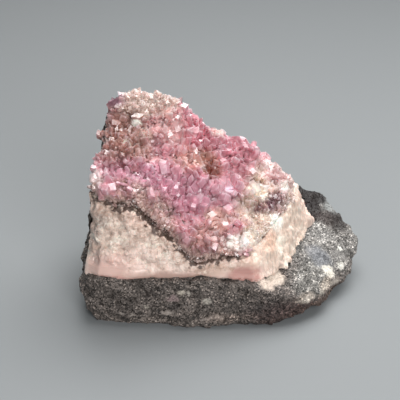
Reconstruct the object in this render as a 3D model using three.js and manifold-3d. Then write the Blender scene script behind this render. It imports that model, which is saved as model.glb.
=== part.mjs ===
// A hand specimen of cobaltoan calcite: a chunk of dark granular host rock, a wedge of pale massive
// calcite on it, and a druse of pink calcite crystals over the wedge. Millimetres, +Z up, +Y away
// from the broken front face. The origin is the middle of the base.
import * as THREE from "three";
import { ConvexGeometry } from "three/addons/geometries/ConvexGeometry.js";
import { TessellateModifier } from "three/addons/modifiers/TessellateModifier.js";
import { mergeVertices } from "three/addons/utils/BufferGeometryUtils.js";
import { ImprovedNoise } from "three/addons/math/ImprovedNoise.js";
import Module from "manifold-3d";

const wasm = await Module();
wasm.setup();

// Driving dimensions, in millimetres.
const SIZE = {
  jointGap: 0.3, // free gap between two minerals that touch
  rockFacet: 8.4, // longest edge of a facet on the host rock
  veinFacet: 5.4, // longest edge of a facet on the massive calcite and under the druse
  seamFacet: 11.0, // longest edge of a facet on the seam between them
  reach: 80, // size of the blocks that cut the vein along the seam
  weld: 1e-4, // corners closer than this are one corner
};

const FINISH = {
  rock: { color: 0x6b6763, roughness: 0.62, metalness: 0.1 },
  calcite: { color: 0xdcc4b7, roughness: 0.6, metalness: 0 },
  druse: { color: 0xc98a93, roughness: 0.25, metalness: 0 },
};

// How far each surface strays from its plain facets: one wave of bumps, and a finer one on it.
const RELIEF = {
  rock: { height: 1.3, spacing: 9, fineHeight: 0.5, fineSpacing: 3.6, seed: 11 },
  vein: { height: 1.0, spacing: 8, fineHeight: 0.5, fineSpacing: 3.2, seed: 47 },
  seam: { height: 1.2, spacing: 6, fineHeight: 0.5, fineSpacing: 3.0, seed: 83 },
};

// The host rock: a slab with a flat patch to rest on and a thin lifted rim on the right.
const SLAB_CORNERS = [
  // the flat patch
  [-29, -18.5, 0], [-20, -20.5, 0], [-8, -21.5, 0], [5, -20, 0], [14, -19.6, 0], [19, -15.5, 0],
  [22.5, -5, 0], [21, 7, 0], [14, 16, 0], [0, 19.5, 0], [-15, 18.5, 0], [-26, 12, 0], [-30, 0, 0],
  // the widest outline
  [-33.6, -17.2, 7.5], [-31, -20, 3.5], [-21, -22, 3], [-9, -22.6, 3], [5, -21.6, 3],
  [16, -21.2, 2.2], [22.2, -18.3, 2.9], [26.1, -14.2, 3.1], [30.1, -9.2, 3.3], [34.4, -1.2, 4.3],
  [35.4, 4.6, 5.6], [33.4, 10.4, 7.4], [30.4, 16, 11], [20, 20, 14], [8, 22, 14], [-8, 22.4, 14],
  [-22, 19, 14], [-30, 10, 13], [-33.4, -4, 11],
  // the upper edges
  [-33, -17.6, 9.6], [-30.6, -19.6, 12.2], [-28, -20.6, 12.6], [-16.3, -21.6, 12],
  [-10.3, -21.6, 12.4], [-4.4, -21.6, 12.6], [1.5, -21.3, 12.2], [6.3, -21, 10.9],
  [11.9, -20.6, 8.8], [17.2, -20, 7.6], [21.7, -18.4, 4.3], [24.8, -15, 4.6], [28.8, -9.5, 4.8],
  [33, -2, 5.4], [34.6, 5, 7.2], [33, 10, 9], [31.6, 13, 11], [27.4, 17.5, 14], [20.3, 19.4, 16.2],
];

// The host rock behind the vein, nearly up to the peak.
const WALL_CORNERS = [
  [-33, -13, 8], [-31, 8, 6], [-21, 20.4, 8], [8, 22, 8], [20, 18.6, 10], [19, 12, 10],
  [-32.6, -14, 13], [-31.6, -11, 20], [-30.6, -8, 28], [-28.4, 3, 40], [-26.2, 8, 45.6],
  [-16, 12, 45.6], [-8.5, 12.5, 40], [0, 13.4, 33], [11, 14, 27], [18, 14.4, 21],
  [-24, 16, 34], [-10, 18.4, 32], [6, 19, 24], [-28, 14, 22],
];

// The vein, as the two blocks whose tops meet in the valley of the druse.
const PEAK_BLOCK_CORNERS = [
  // foot and middle of the broken front face
  [-31.4, -16.4, 8], [-28, -19.8, 8], [-16, -20.6, 8], [-3, -20.6, 8], [8, -19.8, 8],
  [-30.6, -15.4, 17], [-29.2, -15.4, 25],
  // top of the broken front face
  [-29.8, -13.4, 35.6], [-28.2, -15.4, 34.4], [-21.4, -16.8, 32.2], [-14.6, -17.6, 26.8],
  [-8.2, -18.4, 22], [-2, -18.6, 20],
  // left edge, then the ridge from the peak down to the notch
  [-27.6, -9, 37.4], [-26.6, -5, 39.8], [-25.8, 0, 43.6], [-24.4, 4.8, 47.4], [-21.4, 7, 48.4],
  [-15, 8, 47.8], [-10.4, 8, 45.2], [-7.4, 8.4, 41.2],
  // behind the ridge
  [-23.4, 10, 45.4], [-13, 11.6, 44.4], [-5, 12, 38.6], [6, 10, 22], [-30, 4, 20], [0, 2, 12],
];

const SHOULDER_BLOCK_CORNERS = [
  // foot, round the right side
  [-14, -20.2, 9], [8, -20.4, 8], [12, -20.2, 7], [15.8, -14.2, 7.5], [20.2, -6, 8.6],
  [22.4, 0, 9.6], [24.2, 6, 11], [23.8, 9, 12], [20.4, 15, 14], [10, 14, 14],
  // right side of the druse
  [-6, -18.4, 19.6], [6.2, -17.6, 19], [9.6, -11.6, 21], [13.2, -7, 21.4], [16.6, -3, 22],
  [18.8, 1, 22.6], [19.4, 6, 22.6],
  // ridge from the notch to the right
  [-5.8, 8.4, 38.4], [-1.5, 9, 36.6], [2.5, 9.6, 34.8], [5.5, 10, 33], [11, 10, 29.4],
  [13.5, 10, 27], [16, 9.6, 24.6],
  // behind the ridge
  [0, 13, 32.6], [12, 13, 25.6], [19, 12.6, 18.6], [-16, 0, 18],
];

// The oxide seam under the druse: planes, each given by its height over one point and its slopes
// along X and Y. The seam runs on the lower of the flank and the ledge, but never below the floor.
const SEAM = {
  flank: { at: [-8, -18], height: 19.2, alongX: -0.9, alongY: 0.72 },
  ledge: { at: [-24, -16], height: 31, alongX: -0.05, alongY: 0.62 },
  floor: { at: [3, -18], height: 17.2, alongX: 0.06, alongY: 0.24 },
};

// The druse: low three-faced tips side by side all over the crust, and larger crystals that stand
// out between them.
const GROWTH = {
  leastUpward: 0.22, // how far a facet's normal has to point up for crystals to grow on it
  aboveSeam: 1.0, // the least height of such a facet over the seam, in millimetres
  tries: 60, // places tried for each crystal of a kind
  seed: 2024,
};
const TIP = {
  height: 1.45, // height of a tip, against the radius of the circle that fits in its facet
  variation: 0.4, // how far that height strays either way
  smallest: 0.42, // the least radius of such a circle that carries a tip, in millimetres
  offCentre: 0.3, // how far a tip moves from its facet's middle towards a corner, at most
};
// Each kind's width, the room it keeps to its neighbours in millimetres, how far it leans off the
// crust, and how deep its foot is sunk, against its width. The largest kind comes first.
const CRYSTAL_KINDS = [
  { habit: "prism", count: 26, width: 2.7, variation: 0.3, room: 5.6, lean: 0.22, sunk: 0.9 },
  { habit: "rhomb", count: 44, width: 3.0, variation: 0.25, room: 4.2, lean: 0.3, sunk: 0.85 },
];
const CRYSTAL = {
  taper: 0.82, // width at the shoulder of a prism, against the width at its foot
  prism: 1.7, // length of a prism, against its width
  stretch: 1.35, // length of a rhombohedron's long diagonal, against a cube's
};

// A repeatable source of numbers from 0 to 1.
function randomSource(seed) {
  let state = seed >>> 0;
  return () => {
    state = (state + 0x6d2b79f5) >>> 0;
    let mixed = Math.imul(state ^ (state >>> 15), 1 | state);
    mixed = (mixed + Math.imul(mixed ^ (mixed >>> 7), 61 | mixed)) ^ mixed;
    return ((mixed ^ (mixed >>> 14)) >>> 0) / 4294967296;
  };
}

// A closed three.js geometry as a solid that can be joined and cut.
function solidOf(geometry) {
  const bare = geometry.clone();
  bare.deleteAttribute("normal");
  bare.deleteAttribute("uv");
  const merged = mergeVertices(bare, SIZE.weld);
  return new wasm.Manifold(
    new wasm.Mesh({
      numProp: 3,
      vertProperties: merged.attributes.position.array,
      triVerts: new Uint32Array(merged.index.array),
    }),
  );
}

// A solid as an indexed three.js geometry.
function geometryOf(solid) {
  const mesh = solid.getMesh();
  return new THREE.BufferGeometry()
    .setAttribute("position", new THREE.BufferAttribute(mesh.vertProperties, 3))
    .setIndex(new THREE.BufferAttribute(mesh.triVerts, 1));
}

function hull(corners) {
  return solidOf(new ConvexGeometry(corners.map((corner) => new THREE.Vector3(...corner))));
}

const noise = new ImprovedNoise();

// A vector that wanders smoothly from place to place, each part between about -0.6 and 0.6.
function wander(point, spacing, seed) {
  const x = point.x / spacing + seed;
  const y = point.y / spacing;
  const z = point.z / spacing;
  return new THREE.Vector3(
    noise.noise(x, y, z),
    noise.noise(x + 31.4, y + 7.7, z),
    noise.noise(x, y + 19.1, z + 53.2),
  );
}

// Breaks a solid's plain faces into facets no longer than `facet`, and moves their corners as the
// relief says. Corners on the resting plane stay on it.
function roughened(solid, facet, relief) {
  const plain = geometryOf(solid).toNonIndexed();
  const splitter = new TessellateModifier(facet, 12);
  const faceted = mergeVertices(splitter.modify(plain), SIZE.weld);
  const position = faceted.attributes.position;
  const point = new THREE.Vector3();
  for (let i = 0; i < position.count; i++) {
    point.fromBufferAttribute(position, i);
    const resting = point.z < 0.01;
    const coarse = wander(point, relief.spacing, relief.seed).multiplyScalar(relief.height);
    const fine = wander(point, relief.fineSpacing, relief.seed + 5);
    point.add(coarse).add(fine.multiplyScalar(relief.fineHeight));
    position.setXYZ(i, point.x, point.y, resting ? 0 : Math.max(point.z, 0.2));
  }
  return solidOf(faceted);
}

function planeHeight({ at, height, alongX, alongY }, x, y) {
  return height + alongX * (x - at[0]) + alongY * (y - at[1]);
}

function seamHeight(x, y) {
  const { flank, ledge, floor } = SEAM;
  const step = Math.min(planeHeight(flank, x, y), planeHeight(ledge, x, y));
  return Math.max(step, planeHeight(floor, x, y));
}

// A tall block that stands on a plane.
function spaceOver(plane) {
  const block = new THREE.BoxGeometry(SIZE.reach, SIZE.reach, 1);
  const position = block.attributes.position;
  for (let i = 0; i < position.count; i++) {
    const floor = planeHeight(plane, position.getX(i), position.getY(i));
    position.setZ(i, position.getZ(i) < 0 ? floor : floor + 2 * SIZE.reach);
  }
  return solidOf(block);
}

// One crystal with its foot at the origin, growing along +Z: a rhombohedron, or a tapered
// six-sided prism closed by the three faces of one.
function crystal(habit, width) {
  const length = width * CRYSTAL.prism;
  const edge = habit === "prism" ? length : width / Math.SQRT2;
  const rhomb = new THREE.BoxGeometry(edge, edge, edge);
  rhomb.rotateZ(Math.PI / 4).rotateX(Math.atan(Math.SQRT2));
  rhomb.scale(1, 1, habit === "prism" ? 0.9 : CRYSTAL.stretch);
  rhomb.computeBoundingBox();
  const { min, max } = rhomb.boundingBox;
  rhomb.translate(0, 0, habit === "prism" ? length - max.z : -min.z);
  if (habit === "rhomb") return solidOf(rhomb);
  const body = new THREE.CylinderGeometry((width / 2) * CRYSTAL.taper, width / 2, length, 6);
  body.rotateX(Math.PI / 2).translate(0, 0, length / 2);
  return solidOf(body).intersect(solidOf(rhomb));
}

// The facets of the crust, as triangles with their normals, and whether crystals grow on each.
function crustFacets(crust) {
  const { position } = geometryOf(crust).toNonIndexed().attributes;
  return Array.from({ length: position.count / 3 }, (_, i) => {
    const corners = [0, 1, 2].map((k) => new THREE.Vector3().fromBufferAttribute(position, 3 * i + k));
    const triangle = new THREE.Triangle(...corners);
    const normal = triangle.getNormal(new THREE.Vector3());
    const middle = triangle.getMidpoint(new THREE.Vector3());
    const clearance = middle.z - seamHeight(middle.x, middle.y);
    const grows = normal.z > GROWTH.leastUpward && clearance > GROWTH.aboveSeam;
    return { triangle, normal, middle, grows };
  });
}

// The crust with each growing facet raised into a three-faced tip.
function withTips(crust, random) {
  const points = [];
  for (const { triangle, normal, middle, grows } of crustFacets(crust)) {
    const { a, b, c } = triangle;
    const girth = a.distanceTo(b) + b.distanceTo(c) + c.distanceTo(a);
    const radius = (2 * triangle.getArea()) / girth;
    if (!grows || radius < TIP.smallest) {
      points.push(a, b, c);
      continue;
    }
    const scale = 1 + TIP.variation * (2 * random() - 1);
    const corner = [a, b, c][Math.floor(3 * random())];
    const apex = middle.lerp(corner, TIP.offCentre * random());
    apex.addScaledVector(normal, TIP.height * scale * radius);
    points.push(a, b, apex, b, c, apex, c, a, apex);
  }
  return solidOf(new THREE.BufferGeometry().setFromPoints(points));
}

// Places for one kind of crystal, spread evenly over the growing facets and apart from those taken.
function growthPlaces(facets, kind, taken, random) {
  const places = [];
  const reach = facets.at(-1).upTo;
  for (let i = 0; i < GROWTH.tries * kind.count && places.length < kind.count; i++) {
    const pick = random() * reach;
    const { triangle, normal } = facets.find((facet) => facet.upTo >= pick);
    const [u, v] = [random(), random()];
    const [s, t] = u + v > 1 ? [1 - u, 1 - v] : [u, v];
    const along = new THREE.Vector3().subVectors(triangle.b, triangle.a).multiplyScalar(s);
    const across = new THREE.Vector3().subVectors(triangle.c, triangle.a).multiplyScalar(t);
    const point = along.add(across).add(triangle.a);
    if (taken.some((other) => other.distanceTo(point) < kind.room)) continue;
    taken.push(point);
    places.push({ point, normal });
  }
  return places;
}

// The standing crystals, each placed on the crust.
function standingCrystals(crust, random) {
  let area = 0;
  const facets = crustFacets(crust).filter((facet) => facet.grows);
  for (const facet of facets) facet.upTo = area += facet.triangle.getArea();
  const up = new THREE.Vector3(0, 0, 1);
  const taken = [];
  return CRYSTAL_KINDS.flatMap((kind) =>
    growthPlaces(facets, kind, taken, random).map(({ point, normal }) => {
      const width = kind.width * (1 + kind.variation * (2 * random() - 1));
      const lean = new THREE.Vector3(random() - 0.5, random() - 0.5, random() - 0.5);
      const direction = normal.clone().addScaledVector(lean, 2 * kind.lean).normalize();
      const turn = new THREE.Quaternion().setFromUnitVectors(up, direction);
      turn.multiply(new THREE.Quaternion().setFromAxisAngle(up, random() * Math.PI));
      const foot = point.clone().addScaledVector(direction, -kind.sunk * width);
      const placed = new THREE.Matrix4().compose(foot, turn, new THREE.Vector3(1, 1, 1));
      return solidOf(geometryOf(crystal(kind.habit, width)).applyMatrix4(placed));
    }),
  );
}

// The largest body of a solid, without the crumbs that a cut leaves.
function largest(solid) {
  return solid.decompose().reduce((a, b) => (b.volume() > a.volume() ? b : a));
}

// A solid joined with itself moved by the joint gap to every side: the room it needs among its
// neighbours.
function withJointGap(solid) {
  const ways = [[0, -1, 1], [1, 0, 0], [-1, 0, 0], [0, 1, 0], [0, 0, -1]];
  const moved = ways.map((way) => solid.translate(way.map((part) => part * SIZE.jointGap)));
  return wasm.Manifold.union([solid, ...moved]);
}

function piece(name, solid, finish) {
  const mesh = new THREE.Mesh(geometryOf(solid), new THREE.MeshStandardMaterial(finish));
  mesh.name = name;
  return mesh;
}

const overSeam = roughened(
  spaceOver(SEAM.flank).add(spaceOver(SEAM.ledge)).intersect(spaceOver(SEAM.floor)),
  SIZE.seamFacet,
  RELIEF.seam,
);

const [slab, wall] = [SLAB_CORNERS, WALL_CORNERS].map((corners) =>
  roughened(hull(corners), SIZE.rockFacet, RELIEF.rock),
);
const rock = largest(slab.add(wall));
const takenByRock = withJointGap(rock);

const [peakBlock, shoulderBlock] = [PEAK_BLOCK_CORNERS, SHOULDER_BLOCK_CORNERS].map((corners) =>
  roughened(hull(corners), SIZE.veinFacet, RELIEF.vein),
);
const vein = largest(peakBlock.add(shoulderBlock).subtract(takenByRock));
const calcite = largest(vein.subtract(withJointGap(overSeam)));
const crust = largest(vein.intersect(overSeam));

const random = randomSource(GROWTH.seed);
const tippedCrust = withTips(crust, random);
const crystals = wasm.Manifold.union(standingCrystals(crust, random));
const druse = largest(tippedCrust.add(crystals.intersect(overSeam).subtract(takenByRock)));

const specimen = new THREE.Group();
specimen.name = "cobaltoan_calcite_specimen";
specimen.add(
  piece("host_rock", rock, FINISH.rock),
  piece("massive_calcite", calcite, FINISH.calcite),
  piece("crystal_druse", druse, FINISH.druse),
);

// The origin goes to the middle of the base.
const box = new THREE.Box3().setFromObject(specimen);
const middle = box.getCenter(new THREE.Vector3());
specimen.position.set(-middle.x, -middle.y, -box.min.z);

export default specimen;
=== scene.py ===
"""Dresses the cobaltoan calcite hand specimen: host rock, massive calcite and crystal druse.

Lengths are metres in the model's own frame; a size given in millimetres is multiplied by MM.
Each of the three minerals is one closed piece that stands for its faceted solid.
"""

import logging
import math
import random
from collections.abc import Callable, Sequence
from dataclasses import dataclass
from enum import Enum

import bmesh
import bpy
from mathutils import Matrix, Quaternion, Vector, bvhtree, noise


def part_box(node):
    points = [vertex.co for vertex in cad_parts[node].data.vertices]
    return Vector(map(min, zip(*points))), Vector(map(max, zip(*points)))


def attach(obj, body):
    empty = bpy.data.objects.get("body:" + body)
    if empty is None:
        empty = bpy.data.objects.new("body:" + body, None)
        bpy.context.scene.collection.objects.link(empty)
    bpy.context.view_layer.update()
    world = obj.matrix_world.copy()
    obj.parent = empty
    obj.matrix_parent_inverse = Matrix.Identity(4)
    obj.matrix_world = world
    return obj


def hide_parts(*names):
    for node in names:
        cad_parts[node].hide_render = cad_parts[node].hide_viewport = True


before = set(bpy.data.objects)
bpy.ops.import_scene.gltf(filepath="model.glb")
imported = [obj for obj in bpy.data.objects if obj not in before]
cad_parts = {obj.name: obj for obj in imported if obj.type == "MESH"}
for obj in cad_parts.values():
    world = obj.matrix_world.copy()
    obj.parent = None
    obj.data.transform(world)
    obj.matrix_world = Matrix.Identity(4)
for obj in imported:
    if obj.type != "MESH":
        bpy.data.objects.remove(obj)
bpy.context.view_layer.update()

LOG = logging.getLogger("specimen")
MM = 0.001
UP = Vector((0.0, 0.0, 1.0))
Triple = tuple[float, float, float]
Socket = bpy.types.NodeSocket

# What lies lower than this rests on the floor, and nothing else comes nearer to it than this.
RESTING = 0.05 * MM
LEAST_HEIGHT = 0.02 * MM

# Distances from the seam and from the crust are stored no further than this.
SEAM_MOST_MM = 6.0
RISE_MOST_MM = 4.0


class Mineral(Enum):
    """The three minerals, by the name of the node and of its material slot."""

    ROCK = "host_rock"
    CALCITE = "massive_calcite"
    DRUSE = "crystal_druse"


class Habit(Enum):
    """The forms that the calcite crystals grow in."""

    PRISM = "six-sided prism closed by three faces"
    RHOMB = "rhombohedron standing on a corner"
    SPIKE = "tapering six-sided crystal closed by three faces"


BOXES = {mineral: [Vector(corner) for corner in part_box(mineral.value)] for mineral in Mineral}

# ---------------------------------------------------------------------------------------------
# Colour and places


def linear(code: str) -> tuple[float, float, float, float]:
    """Turns an sRGB hex colour into the linear colour that the shaders take.

    Args:
        code: The colour as six hex digits, such as "c48a91".

    Returns:
        Linear red, green, blue and an alpha of 1.
    """
    parts = [int(code[i : i + 2], 16) / 255 for i in (0, 2, 4)]
    red, green, blue = (
        part / 12.92 if part <= 0.04045 else ((part + 0.055) / 1.055) ** 2.4 for part in parts
    )
    return red, green, blue, 1.0


def place_in(mineral: Mineral, share: Triple) -> Vector:
    """Finds the point at a share of the way across a mineral's box.

    Args:
        mineral: The mineral whose box is used.
        share: How far across the box the point is, from 0 to 1 along X, Y and Z.

    Returns:
        The point, in metres.
    """
    return Vector(a + (b - a) * part for a, b, part in zip(*BOXES[mineral], share))


def grain_scale(size_mm: float) -> float:
    """Gives the texture scale whose cells are about this many millimetres across."""
    return 1 / (size_mm * MM)


@dataclass(frozen=True)
class Zone:
    """A rounded region of a mineral that differs in colour, and for the druse in crystal size.

    Attributes:
        at: Its middle, as a share of the mineral's box along X, Y and Z.
        reach: Its half sizes in millimetres.
        colour: Its sRGB hex colour.
        strength: How fully it covers what is under it, from 0 to 1.
        softness: How wide its fading edge is, as a share of its reach.
        crystal: The width of the crystals in it in millimetres, or 0 to leave them.
    """

    at: Triple
    reach: Triple
    colour: str
    strength: float = 0.85
    softness: float = 0.35
    crystal: float = 0.0

    def share_at(self, mineral: Mineral, point: Vector) -> float:
        """Gives how much of the zone there is at a point.

        Args:
            mineral: The mineral that the zone is on.
            point: The point, in metres.

        Returns:
            1 well inside the zone, 0 outside it.
        """
        away = point - place_in(mineral, self.at)
        distance = Vector(part / (reach * MM) for part, reach in zip(away, self.reach)).length
        return min(1.0, max(0.0, (1 + self.softness - distance) / (2 * self.softness)))


@dataclass(frozen=True)
class Stain:
    """An oxide that spreads from the seam between the massive calcite and the druse.

    Attributes:
        colour: Its sRGB hex colour.
        reach_mm: How far it spreads.
        most: How fully it covers what is under it, from 0 to 1.
        edge_mm: Half the width of its fading edge.
    """

    colour: str
    reach_mm: float
    most: float
    edge_mm: float


MANGANESE_OXIDE = Stain("402a20", 1.0, 0.9, 0.35)
IRON_OXIDE = Stain("a58270", 2.8, 0.5, 0.9)

# ---------------------------------------------------------------------------------------------
# Materials

# What a kind of node is set to here, unless a call says otherwise.
USUAL_SETTINGS = {
    "Mix": {"data_type": "RGBA"},
    "MapRange": {"interpolation_type": "SMOOTHSTEP"},
    "Math": {"operation": "MULTIPLY"},
    "VectorMath": {"operation": "MULTIPLY"},
}


class Dressing:
    """A material that is built up from shader nodes.

    Attributes:
        material: The material.
        mineral: The mineral that it is for, whose box places its zones.
        coords: The places on the piece, in the model's own frame.
    """

    def __init__(self, name: str, mineral: Mineral | None = None) -> None:
        """Starts an empty material.

        Args:
            name: Its name.
            mineral: The mineral that it is for, if it is for one.
        """
        self.material = bpy.data.materials.new(name)
        self.material.use_nodes = True
        self.material.node_tree.nodes.clear()
        self.mineral = mineral
        self.coords = self.add("TexCoord", output="Object")

    def add(self, kind: str, inputs: dict | Sequence = (), output: int | str = 0,
            **settings: object) -> Socket | None:
        """Adds a shader node with its settings, values and links.

        Args:
            kind: The node's type, without the "ShaderNode" in front.
            inputs: A value or the socket that feeds it, for inputs by name or for the first
                inputs in order. A texture that isn't told otherwise reads coords.
            output: The wanted output, by name or number.
            **settings: The node's own properties.

        Returns:
            That output, or None if the node has none.
        """
        tree = self.material.node_tree
        node = tree.nodes.new("ShaderNode" + kind)
        for name, value in (USUAL_SETTINGS.get(kind, {}) | settings).items():
            setattr(node, name, value)
        if kind in ("TexNoise", "TexVoronoi"):
            inputs = {"Vector": self.coords} | inputs
        in_use = [socket for socket in node.inputs if socket.enabled]
        for key, value in inputs.items() if isinstance(inputs, dict) else enumerate(inputs):
            socket = in_use[key] if isinstance(key, int) else node.inputs[key]
            if isinstance(value, Socket):
                tree.links.new(value, socket)
            else:
                socket.default_value = value
        if isinstance(output, str):
            return node.outputs[output]
        given = [socket for socket in node.outputs if socket.enabled]
        return given[output] if given else None

    def ragged(self, coords: Socket, size_mm: float, reach_mm: float) -> Socket:
        """Bends coordinates by noise, so that what they place has a ragged edge.

        Args:
            coords: The coordinates.
            size_mm: The size of the bends.
            reach_mm: How far a point moves.

        Returns:
            The bent coordinates.
        """
        bends = self.add(
            "TexNoise", {"Vector": coords, "Scale": grain_scale(size_mm), "Detail": 3.0}, "Color"
        )
        centred = self.add("VectorMath", [bends, (0.5, 0.5, 0.5)], operation="SUBTRACT")
        reach = (2 * reach_mm * MM,) * 3
        return self.add("VectorMath", [centred, reach, coords], operation="MULTIPLY_ADD")

    def streaks(self, widths_mm: Triple, detail: float) -> Socket:
        """Draws noise that is wider one way than another.

        Args:
            widths_mm: Its widths along X, Y and Z.
            detail: How much fine detail it has.

        Returns:
            The noise, from 0 to 1.
        """
        scale = tuple(grain_scale(width) for width in widths_mm)
        drawn = self.add("VectorMath", [self.coords, scale])
        return self.add("TexNoise", {"Vector": drawn, "Scale": 1.0, "Detail": detail})

    def side(self, mineral: Mineral, axis: str, start: float, end: float, low: float = 0.0,
             high: float = 1.0, coords: Socket | None = None) -> Socket:
        """Goes smoothly from one amount to another between two planes across a mineral's box.

        Args:
            mineral: The mineral.
            axis: "X", "Y" or "Z", the direction from plane to plane.
            start: The share of the box at which the first plane is.
            end: The share of the box at which the second plane is.
            low: The amount at and before the first plane.
            high: The amount at and beyond the second.
            coords: The coordinates, where they aren't the piece's own.

        Returns:
            The amount.
        """
        number = "XYZ".index(axis)
        planes = [place_in(mineral, (share,) * 3)[number] for share in (start, end)]
        along = self.add("SeparateXYZ", [coords or self.coords], axis)
        return self.add("MapRange", [along, *planes, low, high])

    def zone_mask(self, coords: Socket, zone: Zone) -> Socket:
        """Gives how much of a zone there is.

        Args:
            coords: The coordinates that place the zone.
            zone: The zone.

        Returns:
            The zone's strength well inside it, 0 outside it.
        """
        middle = tuple(place_in(self.mineral, zone.at))
        away = self.add("VectorMath", [coords, middle], operation="SUBTRACT")
        scaled = self.add("VectorMath", [away, tuple(1 / (reach * MM) for reach in zone.reach)])
        distance = self.add("VectorMath", [scaled], operation="LENGTH")
        edge = (1 + zone.softness, 1 - zone.softness)
        return self.add("MapRange", [distance, *edge, 0.0, zone.strength])

    def painted(self, coords: Socket, ground: Socket | tuple, zones: Sequence[Zone]) -> Socket:
        """Lays zones of colour over a ground colour, in order.

        Args:
            coords: The coordinates that place the zones.
            ground: The colour under them.
            zones: The zones.

        Returns:
            The colour with the zones on it.
        """
        for zone in zones:
            ground = self.add("Mix", [self.zone_mask(coords, zone), ground, linear(zone.colour)])
        return ground

    def shaded(self, colour: Socket, shade: Socket) -> Socket:
        """Makes a colour lighter or darker.

        Args:
            colour: The colour.
            shade: What it is multiplied by.

        Returns:
            The shaded colour.
        """
        grey = self.add("CombineColor", [shade] * 3)
        return self.add("Mix", [1.0, colour, grey], blend_type="MULTIPLY")

    def stained(self, coords: Socket, colour: Socket, stain: Stain) -> Socket:
        """Lays a ragged stain along the seam, which dies out where the columns begin.

        Args:
            coords: The coordinates that place its blots.
            colour: The colour under it.
            stain: The stain.

        Returns:
            The colour with the stain on it.
        """
        seam = self.add("Attribute", output="Fac", attribute_name="seam")
        blots = self.add(
            "TexNoise", {"Vector": coords, "Scale": grain_scale(1.2), "Detail": 4.0}
        )
        reach = self.side(Mineral.CALCITE, "X", 0.72, 0.64, -0.8, stain.reach_mm, coords)
        spread = self.add("Math", [self.add("MapRange", [blots, 0.36, 0.68, 0.05, 1.4]), reach])
        depth = self.add("Math", [spread, seam], operation="SUBTRACT")
        cover = self.add("MapRange", [depth, -stain.edge_mm, stain.edge_mm, 0.0, stain.most])
        return self.add("Mix", [cover, colour, linear(stain.colour)])

    def grain_faces(self, grain_colour: Socket, tilt: float, crumb_mm: float,
                    crumb_height_mm: float) -> Socket:
        """Tilts each grain's face its own way, over a fine bump.

        Args:
            grain_colour: A random colour for each grain.
            tilt: How far the faces tilt.
            crumb_mm: The width of the bumps.
            crumb_height_mm: Their height.

        Returns:
            The normal.
        """
        crumbs = self.add(
            "TexNoise", {"Scale": grain_scale(crumb_mm), "Detail": 3.0, "Roughness": 0.6}
        )
        bump = self.add(
            "Bump", {"Height": crumbs, "Distance": crumb_height_mm * MM, "Strength": 0.7}
        )
        centred = self.add("VectorMath", [grain_colour, (0.5, 0.5, 0.5)], operation="SUBTRACT")
        tilted = self.add("VectorMath", [centred, (tilt,) * 3, bump], operation="MULTIPLY_ADD")
        return self.add("VectorMath", [tilted], operation="NORMALIZE")

    def done(self, surface: dict, inside: Socket | None = None) -> bpy.types.Material:
        """Closes the material.

        Args:
            surface: The inputs of its surface shader.
            inside: What fills it, if it is clear.

        Returns:
            The material.
        """
        ends = {"Surface": self.add("BsdfPrincipled", surface)}
        if inside:
            ends["Volume"] = inside
        self.add("OutputMaterial", ends)
        return self.material


# ---------------------------------------------------------------------------------------------
# Meshes


def link_piece(name: str, mesh: bpy.types.Mesh) -> bpy.types.Object:
    """Makes an object at the origin from a mesh.

    Args:
        name: The object's name.
        mesh: Its mesh.

    Returns:
        The object.
    """
    made = bpy.data.objects.new(name, mesh)
    bpy.context.scene.collection.objects.link(made)
    return made


def mesh_of(name: str, shape: bmesh.types.BMesh) -> bpy.types.Mesh:
    """Turns a bmesh into a mesh.

    Args:
        name: The mesh's name.
        shape: The bmesh, which is used up.

    Returns:
        The mesh.
    """
    mesh = bpy.data.meshes.new(name)
    shape.to_mesh(mesh)
    shape.free()
    return mesh


def result_of(piece: bpy.types.Object) -> bpy.types.Mesh:
    """Makes a new mesh of a piece with its modifiers at work."""
    graph = bpy.context.evaluated_depsgraph_get()
    return bpy.data.meshes.new_from_object(piece.evaluated_get(graph))


def fine_copy(mineral: Mineral, name: str, voxel_mm: float) -> bpy.types.Object:
    """Makes an even, fine, closed copy of a mineral's solid.

    Args:
        mineral: The mineral.
        name: The name of the new piece.
        voxel_mm: The size of its faces in millimetres.

    Returns:
        The piece.
    """
    shape = bmesh.new()
    shape.from_mesh(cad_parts[mineral.value].data)
    bmesh.ops.remove_doubles(shape, verts=shape.verts, dist=0.001 * MM)
    piece = link_piece(name, mesh_of(name, shape))
    grid = piece.modifiers.new("grid", "REMESH")
    grid.mode = "VOXEL"
    grid.voxel_size = voxel_mm * MM
    coarse, fine = piece.data, result_of(piece)
    piece.modifiers.clear()
    piece.data = fine
    bpy.data.meshes.remove(coarse)
    return piece


def reshape(piece: bpy.types.Object, change: Callable[[bmesh.types.BMesh], None]) -> None:
    """Opens a piece's mesh as a bmesh, changes it and puts it back.

    Args:
        piece: The piece.
        change: What is done to the bmesh.
    """
    shape = bmesh.new()
    shape.from_mesh(piece.data)
    change(shape)
    shape.to_mesh(piece.data)
    shape.free()


def soften(shape: bmesh.types.BMesh, times: int, wanted: Callable | None = None) -> None:
    """Rounds a shape's facets and edges.

    Args:
        shape: The shape.
        times: How many times it is smoothed.
        wanted: Tells whether a vertex is smoothed; all are when it is left out.
    """
    shape.normal_update()
    verts = [vert for vert in shape.verts if wanted is None or wanted(vert)]
    for _ in range(times):
        bmesh.ops.smooth_vert(
            shape, verts=verts, factor=0.5, use_axis_x=True, use_axis_y=True, use_axis_z=True
        )


def raise_relief(shape: bmesh.types.BMesh, height: Callable[[Vector], float]) -> None:
    """Moves each vertex of a shape along its normal. What rests on the floor stays on it.

    Args:
        shape: The shape.
        height: Gives the move in millimetres from a place in millimetres.
    """
    shape.normal_update()
    moves = [vert.normal * height(vert.co / MM) * MM for vert in shape.verts]
    for vert, move in zip(shape.verts, moves):
        resting = vert.co.z < RESTING
        vert.co += move
        vert.co.z = 0.0 if resting else max(vert.co.z, LEAST_HEIGHT)


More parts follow.
